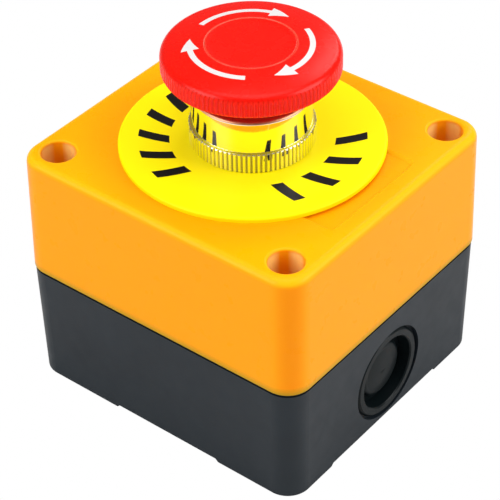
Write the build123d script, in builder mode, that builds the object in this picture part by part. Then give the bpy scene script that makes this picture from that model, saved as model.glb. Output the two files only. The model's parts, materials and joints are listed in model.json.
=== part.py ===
from build123d import *
from math import cos, pi, radians, sin
import os

# Surface-mounted emergency stop station: a two-part plastic box holding a 22 mm
# turn-to-release mushroom operator with one normally closed and one normally
# open contact block.
#
# Frame: +Z out of the wall, along the button's axis. Z = 0 is the plane of the
# box's feet. The legend reads upright seen from -Y, and the cable entries are
# in the -Y and +Y walls. Millimetres.

# ---------------------------------------------------------------- driving sizes

BOX_WIDTH = 73.0  # along X, at the joint between the two halves
BOX_DEPTH = 78.0  # along Y, at the same joint
BOX_CORNER = 6.0
COVER_TOP = 62.0
JOINT_Z = 31.15  # middle of the shadow gap between base and cover
JOINT_GAP = 0.4
BASE_INSET = 0.2  # how far the cover stands out over the base
DRAFT = 0.014  # inward slope of every outer wall, away from the joint
WALL = 3.0
FIT = 0.1  # clearance left at each side of a fitted piece
PANEL = 3.0  # thickness of the cover's top
FLOOR_TOP = 2.6

FOOT_HEIGHT = 0.85
FOOT_GAP_X = (-21.5, 19.8)  # the feet are parted between these, along X
FOOT_GAP_Y = (-17.2, 13.4)
FOOT_TAPER = 45  # slope of the feet's ends, in degrees

STEP_HEIGHT = 0.45  # the base's rim is cut back outside, for a shadow line
STEP_DEPTH = 0.6

GASKET_GROOVE_DEPTH = 0.8
GASKET_INNER = 2.3  # the groove's sides, in from the box's outline
GASKET_OUTER = 1.0

SCREW_X = 29.2  # cover screws
SCREW_Y = 31.8
WELL_RADIUS = 3.95
WELL_FLOOR = 36.0

WALL_HOLE_X = 27.0  # holes for fixing the box to a wall
WALL_HOLE_Y = 21.0
WALL_HOLE_RADIUS = 2.25

ENTRY_Z = 13.5  # cable entries
ENTRY_FACE_Y = 38.4
ENTRY_RECESS_RADIUS = 11.9
ENTRY_HOLE_RADIUS = 10.2

PLATE_RADIUS = 30.0
PLATE_THICKNESS = 1.2
PLATE_TOP = COVER_TOP + PLATE_THICKNESS

PANEL_HOLE_RADIUS = 11.2
KEY_WIDTH = 3.2
KEY_REACH = 12.6
TUBE_RADIUS = 10.9
TUBE_BORE = 8.6
TUBE_END = 46.0
CLIP_GROOVE_LOW = 53.4
CLIP_GROOVE_HIGH = 54.3

KNURL_RADIUS = 14.15
KNURL_TOP = 68.0
KNURL_TEETH = 82
COLLAR_TOP = 76.0
LEDGE_LOW = 66.2  # the bezel's inner ledge, between guide sleeve and return spring
LEDGE_HIGH = 67.2
BEZEL_BORE = 9.7  # above the ledge, round the cap's neck
WIPER_SEAT_RADIUS = 11.2
WIPER_SEAT_LOW = COLLAR_TOP - 2.2
WIPER_SEAT_HIGH = COLLAR_TOP - 0.7
SEAL_GROOVE_INNER = 11.4  # under the bezel's flange
SEAL_GROOVE_OUTER = 12.8
SEAL_GROOVE_DEPTH = 0.8

CAP_RADIUS = 19.8
CAP_BOTTOM = 81.5
CAP_CROWN = 87.75  # height of the crown where it meets the insert
CAP_RIBS = 118
INSERT_RADIUS = 10.0
INSERT_DEPTH = 1.22
NECK_RADIUS = 9.3
NECK_BOTTOM = 73.4
SPRING_SEAT = 79.0  # ceiling of the pocket in the neck, where the spring bears

TRAVEL = 5.0  # how far the head is pressed
RELEASE_ANGLE = 40.0  # how far it is turned to release it

STEM_RADIUS = 5.5
STEM_TOP = 84.2
STEM_FLAT = 4.5  # the stem's upper end is cut flat this far from the axis
PIN_Z = 62.5
PIN_RADIUS = 1.25
PUSHER_BOTTOM = 50.3
PUSHER_TOP = 53.3
PUSHER_FLOOR = 1.5

BLOCK_WIDTH = 11.0
BLOCK_LENGTH = 40.0
BLOCK_TOP = 45.0
BLOCK_BOTTOM = 21.0
BLOCK_OFFSET = 5.7  # from the button's axis to each block's middle
BLOCK_COVER = 1.0  # thickness of a block's side plate
CHAMBER_LOW = BLOCK_BOTTOM + 1.2
COLLAR_FRAME_TOP = 53.0
CLAMP_SCREWS = [(13.6, 15.0), (-13.6, -15.0)]

STRIP_LOW = 34.0  # the fixed contact strips, in both blocks
STRIP_HIGH = 34.8
TIP_Y = 6.6
TIP_THICKNESS = 0.5
TERMINAL_Y = 15.9
TERMINAL_HOLE = 1.75
PLUNGER_TOP = PUSHER_BOTTOM - 0.05
BRIDGE_THICKNESS = 0.6
NO_BRIDGE_Z = 38.8  # underside of the normally open block's bridge
NC_BRIDGE_Z = 32.4
NO_PLUNGER_BOTTOM = 31.0
NO_WINDOW_TOP = 43.0

OUTLET = "parts"

FROM_BELOW = (Align.CENTER, Align.CENTER, Align.MIN)
FROM_ABOVE = (Align.CENTER, Align.CENTER, Align.MAX)


# --------------------------------------------------------------------- helpers


def save(piece, name):
    """Label a finished piece and write it as one STEP file."""
    piece.label = name
    export_step(piece, f"{OUTLET}/{name}.step")


def wall_inset(z):
    """How far the outer wall stands in from its place at the joint."""
    return DRAFT * abs(z - JOINT_Z)


def tapered_block(z_low, z_high, inside=0.0):
    """The box's outline between two heights, drafted, and moved in by inside."""
    with BuildPart() as block:
        for z in (z_low, z_high):
            inset = wall_inset(z) + inside
            with BuildSketch(Plane.XY.offset(z)):
                RectangleRounded(BOX_WIDTH - 2 * inset, BOX_DEPTH - 2 * inset, BOX_CORNER - inside)
        loft()
    return block.part


def revolved(points):
    """A solid of revolution about Z from (radius, height) points."""
    with BuildPart() as turned:
        with BuildSketch(Plane.XZ):
            with BuildLine():
                Polyline(*points, close=True)
            make_face()
        revolve(axis=Axis.Z)
    return turned.part


def rim_ring(z_low, z_high, inner, outer):
    """A rounded rectangular ring between two distances in from the box's outline."""
    with BuildPart() as ring:
        with BuildSketch(Plane.XY.offset(z_low)):
            RectangleRounded(BOX_WIDTH - 2 * outer, BOX_DEPTH - 2 * outer, BOX_CORNER - outer)
            RectangleRounded(
                BOX_WIDTH - 2 * inner, BOX_DEPTH - 2 * inner, BOX_CORNER - inner, mode=Mode.SUBTRACT
            )
        extrude(amount=z_high - z_low)
    return ring.part


def coil(mean_radius, wire_radius, z_low, z_high, turns):
    """A compression spring between two heights, its wire inside both of them."""
    height = z_high - z_low - 2 * wire_radius
    with BuildPart() as spring:
        with BuildLine():
            path = Helix(pitch=height / turns, height=height, radius=mean_radius)
        with BuildSketch(Plane(origin=path @ 0, z_dir=path % 0)):
            Circle(wire_radius)
        sweep(is_frenet=True)
    return spring.part.moved(Location((0, 0, z_low + wire_radius)))


def pan_screw(head_radius, head_height, shank_radius, length, slot):
    """A cross-recessed screw, head up, with the underside of its head at Z = 0."""
    with BuildPart() as screw:
        Cylinder(head_radius, head_height, align=FROM_BELOW)
        fillet(screw.edges().group_by(Axis.Z)[-1], radius=head_height * 0.4)
        Cylinder(shank_radius, length, align=FROM_ABOVE)
        chamfer(screw.edges().group_by(Axis.Z)[0], length=shank_radius * 0.3)
        with Locations((0, 0, head_height)):
            for turn in (0, 90):
                Box(head_radius * 1.15, slot, head_height, rotation=(0, 0, turn), mode=Mode.SUBTRACT)
    return screw.part


def four_corners(x, y):
    """The four points (+-x, +-y)."""
    return [(sx * x, sy * y) for sx in (1, -1) for sy in (1, -1)]


def middle(pair):
    """Half-way between two coordinates."""
    return (pair[0] + pair[1]) / 2


# ------------------------------------------------------------------- enclosure


def make_base():
    """Black lower half: four feet, wall fixing holes, screw bosses, two cable entries."""
    joint = JOINT_Z - JOINT_GAP / 2
    bottom_edge = 0.25
    boss_radius = 4.4
    pilot_radius = 2.05
    pilot_depth = 17.0
    wall_boss_height = 1.0
    pad_thickness = 2.2  # the wall is thicker by this behind each cable entry
    pad_root = 1.0  # how far the pad reaches into the wall behind it
    recess_depth = 1.0
    entry_reach = 12.0
    inner_wall = BOX_DEPTH / 2 - WALL
    overshoot = 10.0  # how far a cutting sketch runs past the box
    past_wall = -1.0
    shell = tapered_block(0, joint, inside=BASE_INSET)
    cavity = tapered_block(FLOOR_TOP, joint, inside=WALL)
    seal_groove = rim_ring(joint - GASKET_GROOVE_DEPTH, joint, GASKET_INNER, GASKET_OUTER)
    shadow_step = rim_ring(joint - STEP_HEIGHT, joint, STEP_DEPTH, past_wall)
    with BuildPart() as base:
        add(shell)
        fillet(base.edges().group_by(Axis.Z)[0], radius=bottom_edge)
        add(shadow_step, mode=Mode.SUBTRACT)
        add(cavity, mode=Mode.SUBTRACT)
        with BuildSketch(Plane.XY.offset(FLOOR_TOP)):
            with Locations(*four_corners(SCREW_X, SCREW_Y)):
                Circle(boss_radius)
        extrude(amount=joint - FLOOR_TOP)
        with BuildSketch(Plane.XY.offset(joint)):
            with Locations(*four_corners(SCREW_X, SCREW_Y)):
                Circle(pilot_radius)
        extrude(amount=-pilot_depth, mode=Mode.SUBTRACT)
        with BuildSketch(Plane.XY.offset(FLOOR_TOP)):
            with Locations(*four_corners(WALL_HOLE_X, WALL_HOLE_Y)):
                Circle(WALL_HOLE_RADIUS * 2)
        extrude(amount=wall_boss_height)
        with BuildSketch():
            with Locations(*four_corners(WALL_HOLE_X, WALL_HOLE_Y)):
                Circle(WALL_HOLE_RADIUS)
        extrude(amount=FLOOR_TOP + wall_boss_height, mode=Mode.SUBTRACT)
        for side in (-1, 1):
            pad_plane = Plane(
                origin=(0, side * (inner_wall + pad_root), ENTRY_Z), z_dir=(0, -side, 0)
            )
            with BuildSketch(pad_plane):
                Circle(ENTRY_RECESS_RADIUS)
                Rectangle(BOX_WIDTH, 2 * (ENTRY_Z - FLOOR_TOP + 1), mode=Mode.INTERSECT)
            extrude(amount=pad_root + pad_thickness)
            outside = Plane(origin=(0, side * BOX_DEPTH / 2, ENTRY_Z), z_dir=(0, -side, 0))
            with BuildSketch(outside):
                Circle(ENTRY_RECESS_RADIUS)
            extrude(amount=BOX_DEPTH / 2 - ENTRY_FACE_Y + recess_depth, mode=Mode.SUBTRACT)
            with BuildSketch(outside):
                Circle(ENTRY_HOLE_RADIUS)
            extrude(amount=entry_reach, mode=Mode.SUBTRACT)
        add(seal_groove, mode=Mode.SUBTRACT)
        with BuildSketch():
            with Locations((middle(FOOT_GAP_X), 0)):
                Rectangle(FOOT_GAP_X[1] - FOOT_GAP_X[0], BOX_DEPTH + overshoot)
        extrude(amount=FOOT_HEIGHT, taper=FOOT_TAPER, mode=Mode.SUBTRACT)
        with BuildSketch():
            with Locations((0, middle(FOOT_GAP_Y))):
                Rectangle(BOX_WIDTH + overshoot, FOOT_GAP_Y[1] - FOOT_GAP_Y[0])
        extrude(amount=FOOT_HEIGHT, taper=FOOT_TAPER, mode=Mode.SUBTRACT)
    return base.part


def make_cover():
    """Yellow upper half: panel hole with keyway, legend recess, four screw wells."""
    joint = JOINT_Z + JOINT_GAP / 2
    top_edge = 2.0
    mouth_edge = 0.65
    pillar_radius = 5.6
    clearance_radius = 2.2
    recess_width = 29.5
    recess_low, recess_high = -32.9, 17.0
    recess_depth = 0.7
    recess_slope = 0.8
    recess_corner = 1.0
    recess_middle = (recess_low + recess_high) / 2
    recess_length = recess_high - recess_low
    shell = tapered_block(joint, COVER_TOP)
    cavity = tapered_block(joint, COVER_TOP - PANEL, inside=WALL)
    with BuildPart() as cover:
        add(shell)
        fillet(cover.edges().group_by(Axis.Z)[-1], radius=top_edge)
        add(cavity, mode=Mode.SUBTRACT)
        with BuildSketch(Plane.XY.offset(joint)):
            with Locations(*four_corners(SCREW_X, SCREW_Y)):
                Circle(pillar_radius)
        extrude(amount=COVER_TOP - PANEL / 2 - joint)
        with BuildSketch(Plane.XY.offset(COVER_TOP)):
            with Locations(*four_corners(SCREW_X, SCREW_Y)):
                Circle(WELL_RADIUS)
        extrude(amount=WELL_FLOOR - COVER_TOP, mode=Mode.SUBTRACT)
        mouths = [
            edge
            for edge in cover.edges().filter_by(GeomType.CIRCLE).group_by(Axis.Z)[-1]
            if abs(edge.radius - WELL_RADIUS) < 0.01
        ]
        fillet(mouths, radius=mouth_edge)
        with BuildSketch(Plane.XY.offset(WELL_FLOOR)):
            with Locations(*four_corners(SCREW_X, SCREW_Y)):
                Circle(clearance_radius)
        extrude(amount=joint - WELL_FLOOR, mode=Mode.SUBTRACT)
        with BuildSketch(Plane.XY.offset(COVER_TOP - PANEL)):
            Circle(PANEL_HOLE_RADIUS)
            with Locations((0, KEY_REACH / 2)):
                Rectangle(KEY_WIDTH, KEY_REACH)
        extrude(amount=PANEL, mode=Mode.SUBTRACT)
        for z, grow in ((COVER_TOP - recess_depth, 0), (COVER_TOP, recess_slope)):
            with BuildSketch(Plane.XY.offset(z)):
                with Locations((0, recess_middle)):
                    RectangleRounded(
                        recess_width + 2 * grow, recess_length + 2 * grow, recess_corner + grow
                    )
        loft(mode=Mode.SUBTRACT)
    return cover.part


def make_gasket():
    """Rubber cord seal lying in the base's rim groove."""
    low = JOINT_Z - JOINT_GAP / 2 - GASKET_GROOVE_DEPTH
    high = JOINT_Z + JOINT_GAP / 2
    return rim_ring(low, high, GASKET_INNER - FIT, GASKET_OUTER + FIT)


def make_cover_screws():
    """Four screws at the bottom of the cover's wells."""
    screw = pan_screw(head_radius=3.6, head_height=2.6, shank_radius=1.95, length=17.0, slot=0.9)
    screws = [screw.moved(Location((x, y, WELL_FLOOR))) for x, y in four_corners(SCREW_X, SCREW_Y)]
    return Compound(children=screws)


def make_entry_plug(side):
    """Rubber blanking plug: flange, sunk ring groove and a thin domed middle to pierce."""
    flange_radius = 11.3
    flange_depth = 1.0
    flange_edge = 0.6
    ring_inner = 9.05
    ring_edge = 0.3
    neck_radius = 10.1
    barb = 0.6  # how far the neck's end swells to hold in the wall
    disc_radius = 7.0
    disc_edge = 0.5
    disc_side = -2.5
    dome_radius = 5.6  # the disc's crown, inside its rounded edge
    dome_edge, dome_crown = -1.8, -1.4
    groove_depth = 3.4
    membrane_depth = 4.4
    end_depth = 6.0
    rise = dome_crown - dome_edge
    sphere = (dome_radius**2 + rise**2) / (2 * rise)
    with BuildPart() as plug:
        with BuildSketch(Plane.XZ):
            with BuildLine():
                Polyline(
                    (0, dome_crown),
                    (0, -membrane_depth),
                    (ring_inner, -membrane_depth),
                    (ring_inner, -end_depth),
                    (neck_radius, -end_depth),
                    (neck_radius + barb, -end_depth + 0.9),
                    (neck_radius, -end_depth + 1.2),
                    (neck_radius, -flange_depth),
                    (flange_radius, -flange_depth),
                    (flange_radius, -flange_edge),
                    (flange_radius - flange_edge, 0),
                    (ring_inner + ring_edge, 0),
                    (ring_inner, -ring_edge),
                    (ring_inner - 0.2, -groove_depth),
                    (disc_radius + 0.4, -groove_depth),
                    (disc_radius, disc_side),
                )
                ThreePointArc(
                    (disc_radius, disc_side),
                    (disc_radius - disc_edge, disc_side + disc_edge),
                    (dome_radius, dome_edge),
                )
                RadiusArc((dome_radius, dome_edge), (0, dome_crown), -sphere)
            make_face()
        revolve(axis=Axis.Z)
    placing = Location((0, side * ENTRY_FACE_Y, ENTRY_Z), (-side * 90, 0, 0))
    return plug.part.moved(placing)


def make_nameplate():
    """Round yellow legend plate, keyed like the cover's hole."""
    rim_edge = 0.6
    with BuildPart() as plate:
        with BuildSketch(Plane.XY.offset(COVER_TOP)):
            Circle(PLATE_RADIUS)
            Circle(PANEL_HOLE_RADIUS, mode=Mode.SUBTRACT)
            with Locations((0, KEY_REACH / 2)):
                Rectangle(KEY_WIDTH, KEY_REACH, mode=Mode.SUBTRACT)
        extrude(amount=PLATE_THICKNESS)
        top_circles = plate.edges().filter_by(GeomType.CIRCLE).group_by(Axis.Z)[-1]
        fillet(top_circles.sort_by(SortBy.RADIUS)[-1], radius=rim_edge)
    return plate.part


# --------------------------------------------------------------- operator head


def thread_points(major, depth, z_from, z_to, pitch):
    """Zigzag of (radius, height) points down a thread's flank, drawn as rings."""
    points = []
    for turn in range(int((z_from - z_to) / pitch)):
        z = z_from - turn * pitch
        points += [(major, z), (major - depth, z - pitch / 2)]
    points.append((major, z_to))
    return points


def star_points(radius, depth, teeth, flat_share):
    """Outline of a knurl: a flat tooth tip and a valley for each tooth."""
    step = 2 * pi / teeth
    half_flat = step * flat_share / 2
    outline = []
    for tooth in range(teeth):
        angle = tooth * step
        valley = angle + step / 2
        outline += [
            (radius * cos(angle - half_flat), radius * sin(angle - half_flat)),
            (radius * cos(angle + half_flat), radius * sin(angle + half_flat)),
            ((radius - depth) * cos(valley), (radius - depth) * sin(valley)),
        ]
    return outline


def make_knurl_band(root, low):
    """Toothed ring round the foot of the bezel, from the plate up."""
    depth = 0.45
    top_edge = 0.15
    foot_edge = 0.3
    past = KNURL_RADIUS + 0.1
    blank = revolved(
        [
            (root, low),
            (KNURL_RADIUS - 0.2, low),
            (past, low + foot_edge),
            (past, KNURL_TOP - top_edge - 0.1),
            (KNURL_RADIUS - top_edge, KNURL_TOP),
            (root, KNURL_TOP),
        ]
    )
    with BuildPart() as band:
        with BuildSketch(Plane.XY.offset(low)):
            Polygon(*star_points(KNURL_RADIUS, depth, KNURL_TEETH, flat_share=0.36), align=None)
        extrude(amount=KNURL_TOP - low)
        add(blank, mode=Mode.INTERSECT)
    return band.part


def make_bezel():
    """Chrome head body: smooth collar, knurled band, threaded tube and its inner ledge."""
    collar_low, collar_high = 13.5, 13.35
    top_flat = 12.5
    collar_edge = 0.8
    lip_radius = 9.6
    ledge_radius = 6.5
    clip_groove = 9.1
    band_low = PLATE_TOP
    band_root = collar_low - 0.3
    thread_depth = 0.6
    thread_top = 59.5
    thread_pitch = 1.5
    tube_chamfer = 0.7
    slot_width = 2.2
    key_low = COVER_TOP - PANEL + 0.2
    key_side = KEY_WIDTH - 0.3
    key_length = 2.4
    edge_start = (top_flat, COLLAR_TOP)
    edge_middle = (collar_high - 0.19, COLLAR_TOP - 0.22)
    edge_end = (collar_high, COLLAR_TOP - collar_edge)
    band = make_knurl_band(band_root - 0.2, band_low)
    thread = thread_points(TUBE_RADIUS, thread_depth, thread_top, TUBE_END + 1, thread_pitch)
    with BuildPart() as bezel:
        with BuildSketch(Plane.XZ):
            with BuildLine():
                ThreePointArc(edge_start, edge_middle, edge_end)
                Polyline(
                    edge_end,
                    (collar_low, KNURL_TOP + 0.25),
                    (band_root, KNURL_TOP - 0.4),
                    (band_root, band_low),
                    (SEAL_GROOVE_OUTER, band_low),
                    (SEAL_GROOVE_OUTER, band_low + SEAL_GROOVE_DEPTH),
                    (SEAL_GROOVE_INNER, band_low + SEAL_GROOVE_DEPTH),
                    (SEAL_GROOVE_INNER, band_low),
                    (TUBE_RADIUS, band_low),
                    *thread,
                    (TUBE_RADIUS - tube_chamfer, TUBE_END),
                    (TUBE_BORE, TUBE_END),
                    (TUBE_BORE, CLIP_GROOVE_LOW),
                    (clip_groove, CLIP_GROOVE_LOW),
                    (clip_groove, CLIP_GROOVE_HIGH),
                    (TUBE_BORE, CLIP_GROOVE_HIGH),
                    (TUBE_BORE, LEDGE_LOW),
                    (ledge_radius, LEDGE_LOW),
                    (ledge_radius, LEDGE_HIGH),
                    (BEZEL_BORE, LEDGE_HIGH),
                    (BEZEL_BORE, WIPER_SEAT_LOW),
                    (WIPER_SEAT_RADIUS, WIPER_SEAT_LOW),
                    (WIPER_SEAT_RADIUS, WIPER_SEAT_HIGH),
                    (lip_radius, WIPER_SEAT_HIGH),
                    (lip_radius, COLLAR_TOP),
                    edge_start,
                )
            make_face()
        revolve(axis=Axis.Z)
        add(band)
        with BuildSketch(Plane.XY.offset(key_low)):
            with Locations((0, KEY_REACH - 0.2 - key_length / 2)):
                Rectangle(key_side, key_length)
        extrude(amount=PLATE_TOP - key_low)
        with BuildSketch(Plane.XY.offset(TUBE_END)):
            with Locations((0, TUBE_BORE - 0.2)):
                Rectangle(slot_width, 2.0)
        extrude(amount=CLIP_GROOVE_LOW - TUBE_END, mode=Mode.SUBTRACT)
    return bezel.part


def make_bezel_seal():
    """Rubber washer in the groove under the bezel's flange."""
    inner = SEAL_GROOVE_INNER + FIT
    outer = SEAL_GROOVE_OUTER - FIT
    top = PLATE_TOP + SEAL_GROOVE_DEPTH - FIT / 2
    return revolved([(inner, PLATE_TOP), (outer, PLATE_TOP), (outer, top), (inner, top)])


def make_lock_nut():
    """Hexagon nut that clamps the head to the cover from inside."""
    thickness = 3.5
    across_flats = 28.0
    edge = 0.6
    top = COVER_TOP - PANEL
    with BuildPart() as nut:
        with BuildSketch(Plane.XY.offset(top - thickness)):
            RegularPolygon(radius=across_flats / 2, side_count=6, major_radius=False)
            Circle(TUBE_RADIUS + FIT / 2, mode=Mode.SUBTRACT)
        extrude(amount=thickness)
        chamfer(nut.edges().filter_by(GeomType.LINE).group_by(Axis.Z)[0], length=edge)
    return nut.part


def make_wiper_seal():
    """Rubber lip ring that keeps dirt out round the cap's neck."""
    low, high = WIPER_SEAT_LOW + FIT / 2, WIPER_SEAT_HIGH - FIT / 2
    outer = WIPER_SEAT_RADIUS - FIT / 2
    lip = NECK_RADIUS + FIT
    return revolved(
        [
            (outer, low),
            (outer, high),
            (lip + 0.5, high),
            (lip, high - 0.45),
            (lip, high - 0.75),
            (lip + 0.6, low),
        ]
    )


def make_guide_sleeve():
    """Plastic sleeve inside the tube, with two windows that the latch pin runs in."""
    low, high = CLIP_GROOVE_HIGH + FIT, LEDGE_LOW - FIT
    edge = 0.3
    play = 0.15
    window_low = PIN_Z - TRAVEL - PIN_RADIUS - play
    window_high = PIN_Z + PIN_RADIUS + play
    reach = 14.0  # past the sleeve's outside
    swing = 16.0  # room for the pin's width at each end of its turn
    first, last = swing, -(RELEASE_ANGLE + swing)
    with BuildPart() as sleeve:
        with BuildSketch(Plane.XY.offset(low)):
            Circle(TUBE_BORE - FIT)
            Circle(STEM_RADIUS + FIT, mode=Mode.SUBTRACT)
        extrude(amount=high - low)
        chamfer(sleeve.edges().group_by(Axis.Z)[0], length=edge)
        with BuildSketch(Plane.XY.offset(window_low)):
            for turn in (0, 180):
                corners = [
                    (reach * cos(radians(turn + angle)), reach * sin(radians(turn + angle)))
                    for angle in (first, (first + last) / 2, last)
                ]
                Polygon((0, 0), *corners, align=None)
        extrude(amount=window_high - window_low, mode=Mode.SUBTRACT)
    return sleeve.part


def make_guide_clip():
    """Sprung ring in the tube's groove that holds the guide sleeve up."""
    thickness = CLIP_GROOVE_HIGH - CLIP_GROOVE_LOW - FIT
    outer, inner = 9.05, 7.7
    opening = 4.0
    with BuildPart() as clip:
        with BuildSketch(Plane.XY.offset(CLIP_GROOVE_LOW + FIT / 2)):
            Circle(outer)
            Circle(inner, mode=Mode.SUBTRACT)
            with Locations((0, -inner)):
                Rectangle(opening, inner, mode=Mode.SUBTRACT)
        extrude(amount=thickness)
    return clip.part


def make_return_spring():
    """Coil that lifts the head and turns it back."""
    low, high = LEDGE_HIGH + FIT / 2, SPRING_SEAT - FIT / 2
    return coil(mean_radius=7.6, wire_radius=0.4, z_low=low, z_high=high, turns=5)


def make_stem():
    """Steel shaft through the head, flat-sided at the top, cross-drilled for the pin."""
    bottom = PUSHER_BOTTOM + PUSHER_FLOOR
    edge = 0.4
    flat_length = 8.6
    tapped_top = (1.75, 10.0)  # radius and depth of the holes for the two screws
    tapped_bottom = (1.35, 6.5)
    with BuildPart() as stem:
        with Locations((0, 0, bottom)):
            Cylinder(STEM_RADIUS, STEM_TOP - bottom, align=FROM_BELOW)
        chamfer(stem.edges().filter_by(GeomType.CIRCLE), length=edge)
        with Locations((STEM_FLAT, 0, STEM_TOP)):
            Box(
                STEM_RADIUS,
                2 * STEM_RADIUS,
                flat_length,
                align=(Align.MIN, Align.CENTER, Align.MAX),
                mode=Mode.SUBTRACT,
            )
        with Locations((0, 0, STEM_TOP)):
            Cylinder(*tapped_top, align=FROM_ABOVE, mode=Mode.SUBTRACT)
        with Locations((0, 0, bottom)):
            Cylinder(*tapped_bottom, align=FROM_BELOW, mode=Mode.SUBTRACT)
        with Locations((0, 0, PIN_Z)):
            Cylinder(PIN_RADIUS + 0.01, 4 * STEM_RADIUS, rotation=(0, 90, 0), mode=Mode.SUBTRACT)
    return stem.part


def make_latch_pin():
    """Hard cross pin that catches in the guide sleeve when the head is pressed."""
    length = 16.4
    edge = 0.2
    with BuildPart() as pin:
        with Locations((0, 0, PIN_Z)):
            Cylinder(PIN_RADIUS, length, rotation=(0, 90, 0))
        chamfer(pin.edges(), length=edge)
    return pin.part


def make_mushroom_cap():
    """Red head: low crown, rounded shoulder, fine ribs round the rim, hollow underneath."""
    crown_drop = 0.34  # fall of the crown from the insert to crown_middle
    crown_middle = 14.4
    mouth_edge = 0.22
    insert_floor = CAP_CROWN - INSERT_DEPTH
    shoulder = 1.9
    shoulder_z = CAP_CROWN - 2.86
    shoulder_x = CAP_RADIUS - shoulder
    rim_edge = 0.7
    inner_radius = 17.3
    ceiling = 84.9
    pocket_radius = 8.4
    bore_fit = 0.05
    screw_radius, screw_sink, sink_depth = 2.2, 4.1, 1.9
    rib_size = 0.46
    rib_run = 1.0  # how far the ribs run up onto the shoulder
    slope, half_turn = radians(6), radians(48)
    meet = (shoulder_x + shoulder * sin(slope), shoulder_z + shoulder * cos(slope))
    bend = (shoulder_x + shoulder * sin(half_turn), shoulder_z + shoulder * cos(half_turn))
    crown_start = (INSERT_RADIUS + 0.25, CAP_CROWN)
    with BuildPart() as cap:
        with BuildSketch(Plane.XZ):
            with BuildLine():
                Polyline(
                    (CAP_RADIUS, shoulder_z),
                    (CAP_RADIUS, CAP_BOTTOM + rim_edge),
                    (CAP_RADIUS - 0.25, CAP_BOTTOM + 0.2),
                    (CAP_RADIUS - rim_edge, CAP_BOTTOM),
                    (inner_radius, CAP_BOTTOM),
                    (inner_radius - 0.3, ceiling - 1.2),
                    (inner_radius - 1.5, ceiling),
                    (NECK_RADIUS + 1, ceiling),
                    (NECK_RADIUS, ceiling - 1),
                    (NECK_RADIUS, NECK_BOTTOM),
                    (pocket_radius, NECK_BOTTOM),
                    (pocket_radius, SPRING_SEAT),
                    (0, SPRING_SEAT),
                    (0, insert_floor),
                    (INSERT_RADIUS, insert_floor),
                    (INSERT_RADIUS, CAP_CROWN - mouth_edge),
                )
                ThreePointArc(
                    (INSERT_RADIUS, CAP_CROWN - mouth_edge),
                    (INSERT_RADIUS + 0.08, CAP_CROWN - 0.07),
                    crown_start,
                )
                ThreePointArc(crown_start, (crown_middle, CAP_CROWN - crown_drop), meet)
                ThreePointArc(meet, bend, (CAP_RADIUS, shoulder_z))
            make_face()
        revolve(axis=Axis.Z)
        with BuildSketch(Plane.XY.offset(SPRING_SEAT)):
            Circle(STEM_RADIUS + bore_fit)
            with Locations((STEM_FLAT + bore_fit, 0)):
                Rectangle(
                    STEM_RADIUS,
                    2 * STEM_RADIUS,
                    align=(Align.MIN, Align.CENTER),
                    mode=Mode.SUBTRACT,
                )
        extrude(amount=STEM_TOP - SPRING_SEAT, mode=Mode.SUBTRACT)
        with Locations((0, 0, insert_floor)):
            Cylinder(screw_radius, INSERT_DEPTH * 4, align=FROM_ABOVE, mode=Mode.SUBTRACT)
            Cone(screw_radius, screw_sink, sink_depth, align=FROM_ABOVE, mode=Mode.SUBTRACT)
        with BuildSketch(Plane.XY.offset(CAP_BOTTOM)):
            with PolarLocations(CAP_RADIUS, CAP_RIBS):
                Rectangle(rib_size, rib_size, rotation=45)
        extrude(amount=shoulder_z + rib_run - CAP_BOTTOM, mode=Mode.SUBTRACT)
    return cap.part


def make_cap_insert():
    """Disc let into the crown, over the cap's fixing screw."""
    low = CAP_CROWN - INSERT_DEPTH + FIT / 2
    rim_z = CAP_CROWN + 0.02
    dish_z = rim_z - 0.12
    radius = INSERT_RADIUS - 0.06
    rim_edge = 0.25
    rim_width = 0.3
    dish_radius = radius - 2.0
    rim_top = (radius - rim_width, rim_z)
    with BuildPart() as insert:
        with BuildSketch(Plane.XZ):
            with BuildLine():
                Polyline((0, dish_z), (0, low), (radius, low), (radius, rim_z - rim_edge))
                ThreePointArc((radius, rim_z - rim_edge), (radius - 0.1, rim_z - 0.07), rim_top)
                ThreePointArc(rim_top, (radius - 1.0, rim_z - 0.09), (dish_radius, dish_z))
                Line((dish_radius, dish_z), (0, dish_z))
            make_face()
        revolve(axis=Axis.Z)
    return insert.part


def make_cap_screw():
    """Countersunk screw that holds the cap on the stem."""
    top = CAP_CROWN - INSERT_DEPTH - FIT / 2
    head, head_height = 3.9, 1.8
    shank, length = 1.7, 11.0
    slot_length, slot = 4.2, 0.8
    with BuildPart() as screw:
        with Locations((0, 0, top)):
            Cone(shank, head, head_height, align=FROM_ABOVE)
            Cylinder(shank, length, align=FROM_ABOVE)
            for turn in (0, 90):
                Box(slot_length, slot, 2.4, rotation=(0, 0, turn), mode=Mode.SUBTRACT)
    return screw.part


def make_pusher():
    """Plastic shoe under the stem; a side key stops it turning, so only the stem turns."""
    key_width, key_length = 1.8, 2.6
    screw_hole = 1.5
    sink_radius, sink_depth = 2.75, 1.0
    with BuildPart() as pusher:
        with BuildSketch(Plane.XY.offset(PUSHER_BOTTOM)):
            Circle(TUBE_BORE - 0.4)
            with Locations((0, TUBE_BORE - 0.9)):
                Rectangle(key_width, key_length)
        extrude(amount=PUSHER_TOP - PUSHER_BOTTOM)
        with BuildSketch(Plane.XY.offset(PUSHER_TOP)):
            Circle(STEM_RADIUS + FIT)
        extrude(amount=PUSHER_BOTTOM + PUSHER_FLOOR - PUSHER_TOP, mode=Mode.SUBTRACT)
        with BuildSketch(Plane.XY.offset(PUSHER_BOTTOM)):
            Circle(screw_hole)
        extrude(amount=2 * PUSHER_FLOOR, mode=Mode.SUBTRACT)
        with Locations((0, 0, PUSHER_BOTTOM)):
            Cone(sink_radius, screw_hole, sink_depth, align=FROM_BELOW, mode=Mode.SUBTRACT)
    return pusher.part


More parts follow.
